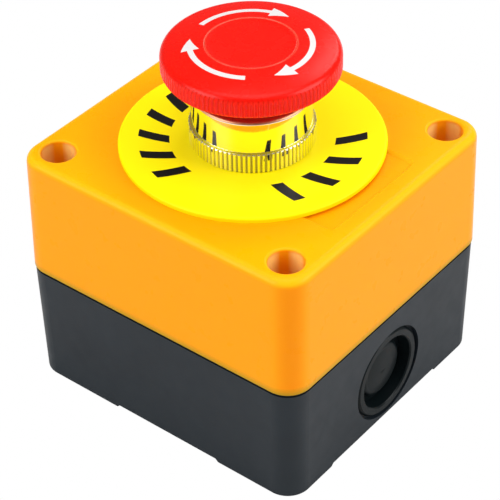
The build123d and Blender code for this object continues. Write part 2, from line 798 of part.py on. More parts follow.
def make_pusher_screw():
    """Small countersunk screw that hangs the pusher on the stem."""
    head, head_height = 2.5, 0.9
    shank, length = 1.3, 7.0
    slot_length, slot = 3.0, 0.6
    with BuildPart() as screw:
        with Locations((0, 0, PUSHER_BOTTOM + FIT)):
            Cone(head, shank, head_height, align=FROM_BELOW)
            Cylinder(shank, length, align=FROM_BELOW)
            for turn in (0, 90):
                Box(slot_length, slot, head_height, rotation=(0, 0, turn), mode=Mode.SUBTRACT)
    return screw.part


# --------------------------------------------------------------- contact blocks


def make_mounting_collar():
    """Die-cast frame on the tube's end, which both contact blocks clip to."""
    width = 32.0
    height = COLLAR_FRAME_TOP - BLOCK_TOP
    opening_radius = 9.4
    tube_seat = TUBE_END - FIT / 2
    corner = 2.0
    screw_hole = 1.75
    notch_z, notch_height = 48.5, 2.0
    notch_width, notch_depth = 6.4, 2.2
    with BuildPart() as collar:
        with BuildSketch(Plane.XY.offset(BLOCK_TOP)):
            RectangleRounded(width, BLOCK_LENGTH, corner)
            Circle(opening_radius, mode=Mode.SUBTRACT)
        extrude(amount=height)
        with BuildSketch(Plane.XY.offset(tube_seat)):
            Circle(TUBE_RADIUS + FIT)
        extrude(amount=COLLAR_FRAME_TOP - tube_seat, mode=Mode.SUBTRACT)
        with BuildSketch(Plane.XY.offset(notch_z)):
            with Locations(*four_corners(BLOCK_OFFSET, BLOCK_LENGTH / 2)):
                Rectangle(notch_width, notch_depth)
        extrude(amount=notch_height, mode=Mode.SUBTRACT)
        with BuildSketch(Plane.XY.offset(BLOCK_TOP)):
            with Locations(*CLAMP_SCREWS):
                Circle(screw_hole)
        extrude(amount=height, mode=Mode.SUBTRACT)
    return collar.part


def make_clamp_screws():
    """Two screws through the collar that bear on the inside of the cover's top."""
    top = COVER_TOP - PANEL - FIT / 2
    head_top = BLOCK_TOP - FIT
    head_height = 1.6
    head_radius, shank_radius = 1.95, 1.7
    slot_length, slot = 4.4, 0.7
    with BuildPart() as screws:
        with BuildSketch(Plane.XY.offset(head_top)):
            with Locations(*CLAMP_SCREWS):
                Circle(shank_radius)
        extrude(amount=top - head_top)
        with BuildSketch(Plane.XY.offset(head_top)):
            with Locations(*CLAMP_SCREWS):
                Circle(head_radius)
        extrude(amount=-head_height)
        with BuildSketch(Plane.XY.offset(head_top - head_height)):
            with Locations(*CLAMP_SCREWS):
                Rectangle(slot_length, slot)
        extrude(amount=head_height / 2, mode=Mode.SUBTRACT)
    return screws.part


def place(piece, side):
    """Move a block's piece from the middle to its own side; the two sides are mirrored."""
    if side < 0:
        piece = piece.mirror(Plane.YZ)
    return piece.moved(Location((side * BLOCK_OFFSET, 0, 0)))


def make_block_housing(side):
    """Moulded body of a contact block: a middle chamber, two terminal pockets, two clips."""
    half_width = BLOCK_WIDTH / 2
    half_length = BLOCK_LENGTH / 2
    chamber_x = half_width - 1.1
    chamber_length = 22.8
    chamber_high = BLOCK_TOP - 1.2
    pocket_y = 16.8
    pocket_length = 8.4
    pocket_top = 36.5
    slit_width = 4.2  # where a strip passes from its pocket into the chamber
    slit_y, slit_depth = 12.0, 2.0
    clip_width = 6.0
    clip_low, clip_height, clip_depth = 38.0, 12.2, 1.2
    clip_root = 6.8  # the length over which a clip is joined to the block
    hook_z, hook_height, hook_depth = 48.8, 1.2, 1.0
    plunger_hole = (5.0, 4.8, 4.0)
    from_wall = (Align.MIN, Align.CENTER, Align.MIN)
    with BuildPart() as housing:
        with Locations((-BLOCK_COVER / 2, 0, BLOCK_BOTTOM)):
            Box(
                BLOCK_WIDTH - BLOCK_COVER, BLOCK_LENGTH, BLOCK_TOP - BLOCK_BOTTOM, align=FROM_BELOW
            )
        with Locations((-chamber_x, 0, CHAMBER_LOW)):
            Box(
                2 * chamber_x,
                chamber_length,
                chamber_high - CHAMBER_LOW,
                align=from_wall,
                mode=Mode.SUBTRACT,
            )
        for end in (-1, 1):
            with Locations((-chamber_x, end * pocket_y, BLOCK_BOTTOM)):
                Box(
                    2 * chamber_x,
                    pocket_length,
                    pocket_top - BLOCK_BOTTOM,
                    align=from_wall,
                    mode=Mode.SUBTRACT,
                )
            with Locations((0, end * slit_y, STRIP_LOW - FIT / 2)):
                Box(
                    slit_width,
                    slit_depth,
                    STRIP_HIGH - STRIP_LOW + FIT,
                    align=FROM_BELOW,
                    mode=Mode.SUBTRACT,
                )
            with Locations((0, end * (half_length + 0.65), clip_low)):
                Box(clip_width, clip_depth, clip_height, align=FROM_BELOW)
            with Locations((0, end * (half_length + 0.03), clip_low)):
                Box(clip_width, 0.14, clip_root, align=FROM_BELOW)
            with Locations((0, end * (half_length - 0.1), hook_z)):
                Box(clip_width, hook_depth, hook_height, align=FROM_BELOW)
        with Locations((0, 0, BLOCK_TOP)):
            Box(*plunger_hole, mode=Mode.SUBTRACT)
    return place(housing.part, side)


def make_block_cover(side):
    """Thin side plate that closes a contact block's chamber."""
    edge = 0.2  # how much shorter than the block it is
    rim = 0.4
    with BuildPart() as plate:
        with Locations((BLOCK_WIDTH / 2 - BLOCK_COVER, 0, (BLOCK_TOP + BLOCK_BOTTOM) / 2)):
            Box(
                BLOCK_COVER,
                BLOCK_LENGTH - edge,
                BLOCK_TOP - BLOCK_BOTTOM - edge,
                align=(Align.MIN, Align.CENTER, Align.CENTER),
            )
        chamfer(plate.faces().sort_by(Axis.X)[-1].edges(), length=rim)
    return place(plate.part, side)


def make_terminals(side):
    """Two brass strips, each from a screw terminal to its contact."""
    strip_y = 11.7
    strip_width, strip_length = 4.0, 14.2
    pad_width, pad_length = 7.2, 5.8
    with BuildPart() as strips:
        with BuildSketch(Plane.XY.offset(STRIP_LOW)):
            for end in (-1, 1):
                with Locations((0, end * strip_y)):
                    Rectangle(strip_width, strip_length)
                with Locations((0, end * TERMINAL_Y)):
                    Rectangle(pad_width, pad_length)
                    Circle(TERMINAL_HOLE, mode=Mode.SUBTRACT)
        extrude(amount=STRIP_HIGH - STRIP_LOW)
    return place(strips.part, side)


def make_tips(side, z):
    """A pair of silver contact rivets at height z."""
    radius = 1.5
    with BuildPart() as tips:
        with Locations((0, TIP_Y, z), (0, -TIP_Y, z)):
            Cylinder(radius, TIP_THICKNESS, align=FROM_BELOW)
    return place(tips.part, side)


def make_bridge(side, z):
    """Moving copper bridge whose underside is at height z, widened under its contacts."""
    width, length, pad_radius = 3.2, 16.4, 1.9
    with BuildPart() as bridge:
        with BuildSketch(Plane.XY.offset(z)):
            Rectangle(width, length)
            with Locations((0, TIP_Y), (0, -TIP_Y)):
                Circle(pad_radius)
        extrude(amount=BRIDGE_THICKNESS)
    return place(bridge.part, side)


def plunger_blank(bottom):
    """The plunger's column with its stop flange, from the pusher down to a given height."""
    column_x, column_y = 4.8, 4.6
    flange_x, flange_y, flange_thickness = 7.4, 4.9, 1.3
    flange_low = 42.3
    edge = 0.5
    with BuildPart() as blank:
        with Locations((0, 0, bottom)):
            Box(column_x, column_y, PLUNGER_TOP - bottom, align=FROM_BELOW)
        chamfer(blank.edges().group_by(Axis.Z)[-1], length=edge)
        with Locations((0, 0, flange_low)):
            Box(flange_x, flange_y, flange_thickness, align=FROM_BELOW)
    return blank.part


def make_nc_plunger(side):
    """Red plunger, which rests on the normally closed block's bridge."""
    return place(plunger_blank(NC_BRIDGE_Z + BRIDGE_THICKNESS), side)


def make_no_plunger(side):
    """Green plunger with a window, in which its bridge floats on the contact spring."""
    blank = plunger_blank(NO_PLUNGER_BOTTOM)
    window_low = NO_BRIDGE_Z - FIT
    window_width, past = 3.5, 6.0
    with BuildPart() as plunger:
        add(blank)
        with Locations((0, 0, window_low)):
            Box(
                window_width,
                past,
                NO_WINDOW_TOP - window_low,
                align=FROM_BELOW,
                mode=Mode.SUBTRACT,
            )
    return place(plunger.part, side)


def make_terminal_screws(side):
    """Two terminal screws, heads towards the open back of the box."""
    head_z = 30.8
    screw = pan_screw(head_radius=2.9, head_height=2.0, shank_radius=1.65, length=5.2, slot=0.8)
    turned = screw.rotate(Axis.X, 180).rotate(Axis.Z, 20)
    screws = [turned.moved(Location((0, end * TERMINAL_Y, head_z))) for end in (-1, 1)]
    return place(Compound(children=screws), side)


def make_clamp_washers(side):
    """Two square washers that press the wire onto its strip."""
    low, thickness = 30.85, 0.9
    side_length, corner = 6.4, 0.5
    with BuildPart() as washers:
        with BuildSketch(Plane.XY.offset(low)):
            with Locations((0, TERMINAL_Y), (0, -TERMINAL_Y)):
                RectangleRounded(side_length, side_length, corner)
                Circle(TERMINAL_HOLE, mode=Mode.SUBTRACT)
        extrude(amount=thickness)
    return place(washers.part, side)


def make_block_spring(side, mean_radius, wire_radius, z_low, z_high, turns):
    """A small coil on a block's middle line, a little clear of both its seats."""
    gap = 0.05
    return place(coil(mean_radius, wire_radius, z_low + gap, z_high - gap, turns), side)


# -------------------------------------------------------------------- all parts


def make_enclosure():
    save(make_base(), "base_housing")
    save(make_cover(), "cover_housing")
    save(make_gasket(), "cover_gasket")
    save(make_cover_screws(), "cover_screws")
    save(make_entry_plug(-1), "front_entry_plug")
    save(make_entry_plug(1), "rear_entry_plug")
    save(make_nameplate(), "nameplate")


def make_operator():
    save(make_bezel(), "bezel")
    save(make_bezel_seal(), "bezel_seal")
    save(make_lock_nut(), "lock_nut")
    save(make_wiper_seal(), "wiper_seal")
    save(make_guide_sleeve(), "guide_sleeve")
    save(make_guide_clip(), "guide_clip")
    save(make_return_spring(), "return_spring")
    save(make_stem(), "stem")
    save(make_latch_pin(), "latch_pin")
    save(make_mushroom_cap(), "mushroom_cap")
    save(make_cap_insert(), "cap_insert")
    save(make_cap_screw(), "cap_screw")
    save(make_pusher(), "pusher")
    save(make_pusher_screw(), "pusher_screw")
    save(make_mounting_collar(), "mounting_collar")
    save(make_clamp_screws(), "clamp_screws")


def make_contact_blocks():
    closed, open_ = 1, -1  # the side of the axis that each block is on
    for side, name in ((closed, "nc"), (open_, "no")):
        save(make_block_housing(side), f"{name}_block_housing")
        save(make_block_cover(side), f"{name}_block_cover")
        save(make_terminals(side), f"{name}_terminals")
        save(make_terminal_screws(side), f"{name}_terminal_screws")
        save(make_clamp_washers(side), f"{name}_clamp_washers")
    save(make_nc_plunger(closed), "nc_plunger")
    save(make_bridge(closed, NC_BRIDGE_Z), "nc_bridge")
    save(make_tips(closed, NC_BRIDGE_Z + BRIDGE_THICKNESS), "nc_bridge_tips")
    save(make_tips(closed, STRIP_LOW - TIP_THICKNESS), "nc_fixed_tips")
    save(make_block_spring(closed, 2.0, 0.25, CHAMBER_LOW, NC_BRIDGE_Z, 6), "nc_spring")
    save(make_no_plunger(open_), "no_plunger")
    save(make_bridge(open_, NO_BRIDGE_Z), "no_bridge")
    save(make_tips(open_, NO_BRIDGE_Z - TIP_THICKNESS), "no_bridge_tips")
    save(make_tips(open_, STRIP_HIGH), "no_fixed_tips")
    save(make_block_spring(open_, 2.0, 0.25, CHAMBER_LOW, NO_PLUNGER_BOTTOM, 6), "no_return_spring")
    bridge_top = NO_BRIDGE_Z + BRIDGE_THICKNESS
    save(make_block_spring(open_, 1.1, 0.15, bridge_top, NO_WINDOW_TOP, 4), "no_contact_spring")


os.makedirs(OUTLET, exist_ok=True)
make_enclosure()
make_operator()
make_contact_blocks()
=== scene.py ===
import json
from math import cos, pi, radians, sin

import bmesh
import bpy
from mathutils import Matrix, Vector
from mathutils.bvhtree import BVHTree


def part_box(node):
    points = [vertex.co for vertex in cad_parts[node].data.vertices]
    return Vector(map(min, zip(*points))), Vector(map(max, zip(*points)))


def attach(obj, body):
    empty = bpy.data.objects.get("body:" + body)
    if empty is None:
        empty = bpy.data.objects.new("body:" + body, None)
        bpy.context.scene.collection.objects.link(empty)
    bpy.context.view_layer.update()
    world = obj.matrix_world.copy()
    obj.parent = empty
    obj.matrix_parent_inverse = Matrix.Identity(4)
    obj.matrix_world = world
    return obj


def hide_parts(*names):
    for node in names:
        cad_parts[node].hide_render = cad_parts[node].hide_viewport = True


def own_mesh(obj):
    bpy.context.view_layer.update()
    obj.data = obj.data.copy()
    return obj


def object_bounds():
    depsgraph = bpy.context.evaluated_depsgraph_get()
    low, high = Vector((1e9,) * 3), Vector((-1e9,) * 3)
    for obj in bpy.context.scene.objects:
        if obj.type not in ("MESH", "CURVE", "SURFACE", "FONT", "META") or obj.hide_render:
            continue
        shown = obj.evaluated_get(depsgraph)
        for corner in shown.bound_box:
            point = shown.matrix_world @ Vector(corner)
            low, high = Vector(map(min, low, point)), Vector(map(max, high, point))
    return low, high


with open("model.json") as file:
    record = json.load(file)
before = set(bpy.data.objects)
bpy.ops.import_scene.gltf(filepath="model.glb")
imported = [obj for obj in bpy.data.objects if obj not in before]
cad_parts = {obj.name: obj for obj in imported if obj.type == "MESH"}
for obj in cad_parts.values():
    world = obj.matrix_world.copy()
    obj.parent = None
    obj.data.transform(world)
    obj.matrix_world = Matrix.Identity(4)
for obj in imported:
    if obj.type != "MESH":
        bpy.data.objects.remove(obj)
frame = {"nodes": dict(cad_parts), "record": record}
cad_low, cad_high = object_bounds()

# An emergency stop station: an amber cover on a black base, a round yellow plate,
# a chrome bezel and a red mushroom head with three white arrows. Metres, +Z up.

MM = 0.001


# ----------------------------------------------------------------- node helpers


class Shader:
    """A material with a Principled BSDF, and short calls for the nodes that feed it."""

    def __init__(self, name):
        self.material = bpy.data.materials.new(name)
        self.material.use_nodes = True
        self.tree = self.material.node_tree
        self.surface = self.tree.nodes["Principled BSDF"]
        coordinates = self.tree.nodes.new("ShaderNodeTexCoord")
        self.place = coordinates.outputs["Object"]
        self.facing = coordinates.outputs["Normal"]

    def set(self, **values):
        """Set constants on the Principled BSDF, by socket name with _ for a space."""
        for key, value in values.items():
            self.surface.inputs[key.replace("_", " ")].default_value = value
        return self

    def link(self, output, socket):
        self.tree.links.new(output, self.surface.inputs[socket])

    def node(self, kind, inputs=(), **settings):
        """Add a node; inputs are (socket, constant or output) pairs."""
        made = self.tree.nodes.new(kind)
        for key, value in settings.items():
            setattr(made, key, value)
        for socket, value in inputs:
            if isinstance(value, bpy.types.NodeSocket):
                self.tree.links.new(value, made.inputs[socket])
            else:
                made.inputs[socket].default_value = value
        return made

    def noise(self, size, detail=2.0, stretch=(1, 1, 1), distortion=0.0):
        """Noise whose features are about size metres across."""
        place = self.node(
            "ShaderNodeMapping", [("Vector", self.place), ("Scale", stretch)]
        ).outputs["Vector"]
        return self.node(
            "ShaderNodeTexNoise",
            [
                ("Vector", place),
                ("Scale", 1 / size),
                ("Detail", detail),
                ("Distortion", distortion),
            ],
        ).outputs["Fac"]

    def spread(self, factor, low, high, from_low=0.3, from_high=0.7):
        """Map a factor onto a range of numbers."""
        return self.node(
            "ShaderNodeMapRange",
            [
                ("Value", factor),
                ("From Min", from_low),
                ("From Max", from_high),
                ("To Min", low),
                ("To Max", high),
            ],
        ).outputs["Result"]

    def maths(self, operation, first, second=0.0):
        """One step of arithmetic on numbers or outputs."""
        return self.node(
            "ShaderNodeMath", [(0, first), (1, second)], operation=operation
        ).outputs["Value"]

    def axes(self, source=None):
        """The three parts of a vector, by default of the place on the object."""
        parts = self.node("ShaderNodeSeparateXYZ", [("Vector", source or self.place)])
        return parts.outputs["X"], parts.outputs["Y"], parts.outputs["Z"]

    def reach(self, x, y):
        """Distance of (x, y) from the origin."""
        return self.maths(
            "SQRT", self.maths("ADD", self.maths("MULTIPLY", x, x), self.maths("MULTIPLY", y, y))
        )

    def blend(self, factor, first, second, mode="MIX"):
        """Mix two colours by a factor."""
        mix = self.tree.nodes.new("ShaderNodeMix")
        mix.data_type = "RGBA"
        mix.blend_type = mode
        for socket, value in ((0, factor), (6, first), (7, second)):
            if isinstance(value, bpy.types.NodeSocket):
                self.tree.links.new(value, mix.inputs[socket])
            elif socket == 0:
                mix.inputs[socket].default_value = value
            else:
                mix.inputs[socket].default_value = (*value, 1)
        return mix.outputs[2]

    def bump(self, heights):
        """Bump from a list of (height output, depth in metres)."""
        normal = None
        for height, depth in heights:
            inputs = [("Height", height), ("Distance", depth), ("Strength", 1.0)]
            if normal is not None:
                inputs.append(("Normal", normal))
            normal = self.node("ShaderNodeBump", inputs).outputs["Normal"]
        self.link(normal, "Normal")
        return self


def tint(colour, factor):
    """A colour made lighter or darker."""
    return tuple(min(1.0, part * factor) for part in colour)


# -------------------------------------------------------------------- materials


def moulded(name, colour, roughness, grain=0.3, depth=0.004, vary=0.06, **values):
    """Moulded plastic: clouded colour, fine spark-eroded grain, uneven gloss."""
    shader = Shader(name)
    shader.set(**values)
    cloud = shader.noise(18 * MM, detail=3.0)
    shader.link(
        shader.blend(
            shader.spread(cloud, 0.0, 1.0), tint(colour, 1 - vary), tint(colour, 1 + vary)
        ),
        "Base Color",
    )
    gloss = shader.noise(4 * MM, detail=4.0)
    shader.link(shader.spread(gloss, roughness - 0.04, roughness + 0.04), "Roughness")
    fine = shader.noise(grain * MM, detail=3.0)
    wave = shader.noise(9 * MM, detail=1.0)
    return shader.bump([(wave, 0.02 * MM), (fine, depth * MM)]).material


def metal(name, colour, roughness, brushed=(1, 1, 1), depth=0.002, vary=0.05, **values):
    """Bare or plated metal: fine directional marks, uneven polish."""
    shader = Shader(name)
    shader.set(Metallic=1.0, **values)
    cloud = shader.noise(6 * MM, detail=3.0)
    shader.link(
        shader.blend(
            shader.spread(cloud, 0.0, 1.0), tint(colour, 1 - vary), tint(colour, 1 + vary)
        ),
        "Base Color",
    )
    marks = shader.noise(0.5 * MM, detail=4.0, stretch=brushed)
    shader.link(
        shader.spread(marks, roughness * 0.75, roughness * 1.3), "Roughness"
    )
    return shader.bump([(marks, depth * MM)]).material


def make_cover_amber():
    """Translucent amber, with painted light: a painted lit top and a painted highlight on the
    top edges, painted shade round the plate, on the vertical corners and at the foot by the
    black base, and a painted glow in the screw wells.
    """
    # The wall colour is the amber's own. The top and edge colours are painted light, the hub,
    # corner and foot colours are painted shade, and the well colours are a painted glow from
    # light through the plastic.
    wall, corner, shaded_foot = (1.0, 0.345, 0.003), (0.97, 0.29, 0.001), (0.4, 0.26, 0.012)
    top, edge_highlight, shaded_hub = (1.0, 0.43, 0.001), (1.0, 0.48, 0.006), (1.0, 0.34, 0.001)
    pit_glow, wall_glow = (1.0, 0.36, 0.004), (1.0, 0.6, 0.17)
    shade = (0.85, 0.85, 0.85)
    hub_start, hub_end = 30 * MM, 40 * MM
    foot_low, foot_high = 31.3 * MM, 33.3 * MM
    well_x, well_y = 29.2 * MM, 31.8 * MM
    well_inside, well_outside = 4.0 * MM, 4.4 * MM
    mouth_low, mouth_high = 60.9 * MM, 61.7 * MM
    corner_fade, edge_fade = (0.2, 0.5), (0.15, 0.6)
    top_fade, well_glow_fade = (0.9, 0.995), (0.84, 0.98)
    shader = Shader("cover_amber")
    shader.set(
        Subsurface_Weight=0.08,
        Subsurface_Radius=(1.0, 0.4, 0.03),
        Subsurface_Scale=2.0 * MM,
        Specular_IOR_Level=0.07,
    )
    x, y, z = shader.axes()
    turn_x, turn_y, lift = shader.axes(shader.facing)
    # Painted shade round the plate: the painted lit top fades to a darker colour near the plate.
    near = shader.spread(shader.reach(x, y), 1.0, 0.0, hub_start, hub_end)
    above = shader.blend(near, top, shaded_hub)
    # Painted shade on the vertical corners, where the faces turn away from both side lamps.
    bend = shader.maths("ABSOLUTE", shader.maths("MULTIPLY", turn_x, turn_y))
    colour = shader.blend(shader.spread(bend, 0.0, 1.0, *corner_fade), wall, corner)
    # Painted shade at the foot, where the black base behind the translucent wall darkens it.
    colour = shader.blend(shader.spread(z, 0.9, 0.0, foot_low, foot_high), colour, shaded_foot)
    # A painted highlight on the top edges, then a painted lit top, both chosen by how far the
    # face turns up.
    colour = shader.blend(shader.spread(lift, 0.0, 1.0, *edge_fade), colour, edge_highlight)
    colour = shader.blend(shader.spread(lift, 0.0, 1.0, *top_fade), colour, above)
    # Painted glow in the screw wells: light through the plastic, painted as a brighter pit with
    # lighter painted reflections on the walls that face the axes.
    side_x = shader.maths("SUBTRACT", shader.maths("ABSOLUTE", x), well_x)
    side_y = shader.maths("SUBTRACT", shader.maths("ABSOLUTE", y), well_y)
    well = shader.spread(shader.reach(side_x, side_y), 1.0, 0.0, well_inside, well_outside)
    deep = shader.spread(z, 1.0, 0.0, mouth_low, mouth_high)
    square = shader.maths(
        "MAXIMUM", shader.maths("ABSOLUTE", turn_x), shader.maths("ABSOLUTE", turn_y)
    )
    well_glow = shader.blend(shader.spread(square, 0.0, 1.0, *well_glow_fade), pit_glow, wall_glow)
    colour = shader.blend(shader.maths("MULTIPLY", well, deep), colour, well_glow)
    cloud = shader.noise(14 * MM, detail=3.0)
    colour = shader.blend(
        shader.spread(cloud, 0.0, 0.06), colour, shader.blend(1.0, colour, shade, "MULTIPLY")
    )
    shader.link(colour, "Base Color")
    gloss = shader.noise(4 * MM, detail=4.0)
    shader.link(shader.spread(gloss, 0.26, 0.34), "Roughness")
    wave = shader.noise(9 * MM, detail=1.0)
    fine = shader.noise(0.35 * MM, detail=3.0)
    return shader.bump([(wave, 0.015 * MM), (fine, 0.0005 * MM)]).material


def make_cap_red():
    """Glossy red, with a painted highlight round the let-in disc and painted light that lifts
    the shade between the ribs and low on the shoulder.
    """
    # The body colour is the red's own. The rim colour is a painted highlight and the root colour
    # is painted light.
    body, rim, lit_root = (0.78, 0.006, 0.0008), (1.0, 0.1, 0.06), (1.0, 0.045, 0.02)
    insert_edge, insert_fade = 10.02 * MM, (0.1 * MM, 0.32 * MM)
    crown_low, crown_high = 87.0 * MM, 87.2 * MM
    rib_root, rib_tip = 19.62 * MM, 19.8 * MM
    ribs_fade = (85.0 * MM, 85.8 * MM)
    side_fade = (18.8 * MM, 19.2 * MM)
    shader = Shader("cap_red")
    shader.set(
        Specular_IOR_Level=0.17,
        Subsurface_Weight=0.3,
        Subsurface_Radius=(1.0, 0.1, 0.05),
        Subsurface_Scale=0.8 * MM,
    )
    x, y, z = shader.axes()
    reach = shader.reach(x, y)
    # Painted highlight: a lighter ring on the crown at the let-in disc's edge.
    off = shader.maths("ABSOLUTE", shader.maths("SUBTRACT", reach, insert_edge))
    highlight_ring = shader.spread(off, 1.0, 0.0, *insert_fade)
    high = shader.spread(z, 0.0, 1.0, crown_low, crown_high)
    cloud = shader.noise(12 * MM, detail=3.0)
    colour = shader.blend(shader.spread(cloud, 0.0, 1.0), tint(body, 0.97), tint(body, 1.03))
    # Painted light: a paler red in the rib grooves and low on the shoulder, lifting the shade
    # there.
    flute = shader.maths(
        "MULTIPLY",
        shader.spread(reach, 1.0, 0.0, rib_root, rib_tip),
        shader.spread(z, 1.0, 0.0, *ribs_fade),
    )
    outer = shader.spread(reach, 0.0, 1.0, *side_fade)
    colour = shader.blend(shader.maths("MULTIPLY", flute, outer), colour, lit_root)
    shader.link(
        shader.blend(shader.maths("MULTIPLY", highlight_ring, high), colour, rim), "Base Color"
    )
    gloss = shader.noise(4 * MM, detail=4.0)
    shader.link(shader.spread(gloss, 0.24, 0.3), "Roughness")
    wave = shader.noise(9 * MM, detail=1.0)
    fine = shader.noise(0.5 * MM, detail=2.0)
    return shader.bump([(wave, 0.02 * MM), (fine, 0.0008 * MM)]).material


def make_chrome():
    """Bright plating, rougher in the knurl's valleys, on its top and at the collar's brim, with
    painted light there: painted shade and an olive painted reflection in the valleys, a yellow
    painted reflection and dimmed painted glints on the knurl's top, and a peach painted
    reflection of the red head on the brim.
    """
    valley_root, valley_tip = 13.8 * MM, 14.12 * MM
    band_inside, band_outside = 13.53 * MM, 13.6 * MM
    tip_inside, tip_outside = 13.72 * MM, 13.85 * MM
    band_fade = (67.8 * MM, 67.95 * MM)
    ledge_fade = (68.1 * MM, 68.22 * MM)
    brim_fade = (75.0 * MM, 75.3 * MM)
    dark, light = (0.92, 0.92, 0.93), (0.95, 0.95, 0.96)
    # Painted reflections: olive in the knurl's valleys, straw and pale on its top, peach on the
    # brim.
    valley_reflection, ledge_reflection = (0.64, 0.6, 0.36), (0.8, 0.74, 0.08)
    dimmed_glint, cap_reflection = (0.6, 0.56, 0.34), (0.6, 0.3, 0.17)
    dullness = 0.34
    shader = Shader("chrome")
    shader.set(Metallic=1.0)
    x, y, z = shader.axes()
    reach = shader.reach(x, y)
    lift = shader.axes(shader.facing)[2]
    valley = shader.spread(reach, 1.0, 0.0, valley_root, valley_tip)
    below = shader.spread(z, 1.0, 0.0, *band_fade)
    outside = shader.spread(reach, 0.0, 1.0, band_inside, band_outside)
    groove = shader.maths("MULTIPLY", valley, shader.maths("MULTIPLY", below, outside))
    ledge = shader.spread(z, 1.0, 0.0, *ledge_fade)
    crest = shader.maths("MULTIPLY", ledge, shader.maths("SUBTRACT", 1.0, below))
    brim = shader.maths(
        "MULTIPLY",
        shader.spread(z, 0.0, 1.0, *brim_fade),
        shader.spread(lift, 0.0, 1.0, 0.1, 0.3),
    )
    cloud = shader.noise(6 * MM, detail=3.0)
    bright = shader.blend(shader.spread(cloud, 0.0, 1.0), dark, light)
    # Painted shade and a painted reflection of the plate in the knurl's valleys.
    colour = shader.blend(groove, bright, valley_reflection)
    tip = shader.spread(reach, 0.0, 1.0, tip_inside, tip_outside)
    # A painted reflection of the plate on the knurl's top ledge, and dimmed painted glints on
    # its tooth tips.
    colour = shader.blend(crest, colour, shader.blend(tip, ledge_reflection, dimmed_glint))
    # A painted reflection of the red head on the collar's brim.
    shader.link(shader.blend(brim, colour, cap_reflection), "Base Color")
    marks = shader.noise(0.5 * MM, detail=4.0)
    polish = shader.spread(marks, 0.04, 0.08)
    # Roughness only: rougher where the painted reflections are.
    rougher_areas = shader.maths("ADD", groove, shader.maths("ADD", crest, brim))
    dull = shader.maths("MULTIPLY", rougher_areas, dullness)
    shader.link(shader.maths("ADD", polish, dull), "Roughness")
    return shader.bump([(marks, 0.0002 * MM)]).material


MATERIALS = {
    "cover_amber": make_cover_amber(),
    "base_black": moulded(
        "base_black", (0.0115, 0.017, 0.0225), 0.42, grain=0.4, depth=0.002, vary=0.1,
        Specular_IOR_Level=0.2,
    ),
    "plug_black": moulded(
        "plug_black", (0.004, 0.007, 0.008), 0.34, grain=0.5, depth=0.0015, vary=0.1,
        Specular_IOR_Level=0.1,
    ),
    "plate_yellow": moulded(
        "plate_yellow", (1.0, 0.86, 0.002), 0.4, grain=0.6, depth=0.0005, vary=0.012,
        Specular_IOR_Level=0.06,
    ),
    "cap_red": make_cap_red(),
    "chrome": make_chrome(),
    "seal_rubber": moulded("seal_rubber", (0.02, 0.02, 0.02), 0.7, depth=0.006),
    "zinc_steel": metal("zinc_steel", (0.74, 0.76, 0.78), 0.28, vary=0.08),
    "turned_steel": metal("turned_steel", (0.62, 0.62, 0.63), 0.25, brushed=(1, 1, 12)),
    "spring_steel": metal("spring_steel", (0.5, 0.5, 0.52), 0.3, vary=0.1),
    "cast_zinc": metal("cast_zinc", (0.58, 0.59, 0.6), 0.45, depth=0.008, vary=0.08),
    "natural_nylon": moulded(
        "natural_nylon", (0.78, 0.73, 0.6), 0.45,
        Subsurface_Weight=0.3, Subsurface_Radius=(1.0, 0.9, 0.7), Subsurface_Scale=1.0 * MM,
    ),
    "black_nylon": moulded("black_nylon", (0.02, 0.02, 0.02), 0.45),
    "block_grey": moulded("block_grey", (0.16, 0.165, 0.175), 0.5, depth=0.005),
    "nc_red": moulded("nc_red", (0.6, 0.02, 0.015), 0.4),
    "no_green": moulded("no_green", (0.02, 0.33, 0.08), 0.4),
    "terminal_brass": metal(
        "terminal_brass", (0.8, 0.58, 0.26), 0.25, brushed=(12, 1, 1), vary=0.1
    ),
    "contact_silver": metal("contact_silver", (0.9, 0.89, 0.87), 0.3),
}
INK_BLACK = moulded(
    "ink_black", (0.006, 0.005, 0.004), 0.4, grain=0.2, depth=0.002, vary=0.2,
    Specular_IOR_Level=0.12,
)
INK_WHITE = moulded(
    "ink_white", (0.7, 0.67, 0.66), 0.4, grain=0.2, depth=0.002, vary=0.015,
    Specular_IOR_Level=0.3,
)

for entry in frame["record"]["subparts"]:
    slots = frame["nodes"][entry["node"]].data.materials
    for index in range(len(slots)):
        slots[index] = MATERIALS[entry["material_slot"]]


# ---------------------------------------------------------------- printed marks

RAY_START = 10 * MM  # above a surface, where the rays that find it begin
INK_SINK = 0.05 * MM  # how far a print reaches into its surface
ACROSS = (-1.0, -0.5, 0.0, 0.5, 1.0)  # points over a stroke, as shares of its half width


def node_surface(*nodes):
    """A search tree over the faces of CAD nodes, for laying a print on them."""
    points, faces = [], []
    for node in nodes:
        mesh = frame["nodes"][node].data
        start = len(points)
        points += [vertex.co.copy() for vertex in mesh.vertices]
        faces += [[start + index for index in face.vertices] for face in mesh.polygons]
    return BVHTree.FromPolygons(points, faces)


